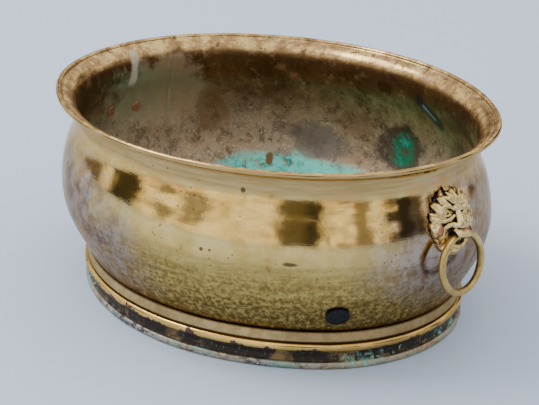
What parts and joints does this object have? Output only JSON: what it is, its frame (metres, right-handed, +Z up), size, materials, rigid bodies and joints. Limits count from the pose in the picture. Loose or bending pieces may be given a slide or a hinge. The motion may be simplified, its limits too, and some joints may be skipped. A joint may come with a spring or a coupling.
{
  "type": "planter pot",
  "caption": "Oval brass planter pot with a rolled rim, a bellied wall and a stepped foot, and swinging ring handles held in lion masks at its ends.",
  "frame": {"origin": "on the floor, under the middle of the oval", "axes": "+X along the pot's length, towards the mask beside the drain plug; +Y across its width, away from the plug; +Z up"},
  "size_m": [0.4276, 0.34, 0.1745],
  "materials": {
    "brass_sheet": "aged, polished, with patina and stains",
    "brass_foot": "tarnished, dark in the hollows",
    "brass_floor": "dull, with verdigris",
    "brass_cast": "cast, dark in the recesses",
    "brass_ring": "worn satin",
    "iron_wire": "dull",
    "copper": "copper, hammered",
    "black_rubber": "smooth, slightly glossy"
  },
  "bodies": {
    "pot": {"body_shell": "brass_sheet", "rim_wire": "iron_wire", "foot_ring": "brass_foot", "foot_wire": "iron_wire", "base_plate": "brass_floor", "mask_right": "brass_cast", "mask_left": "brass_cast", "rivet_right_near": "copper", "rivet_right_far": "copper", "rivet_left_near": "copper", "rivet_left_far": "copper"},
    "right_ring": {"ring_right": "brass_ring"},
    "left_ring": {"ring_left": "brass_ring"},
    "plug": {"drain_plug": "black_rubber"}
  },
  "joints": [
    {"name": "ring_right_swing", "type": "hinge", "parent": "pot", "child": "right_ring", "pos_m": [0.20486, -0.00644, 0.1125], "axis": [-0.0419, -0.9991, 0], "range_deg": [-18, 180]},
    {"name": "ring_left_swing", "type": "hinge", "parent": "pot", "child": "left_ring", "pos_m": [-0.20486, 0.00644, 0.1125], "axis": [0.0419, 0.9991, 0], "range_deg": [-18, 180]},
    {"name": "plug_pull", "type": "slide", "parent": "pot", "child": "plug", "axis": [0.6614, -0.5749, -0.4818], "range_m": [0, 0.012]}
  ]
}
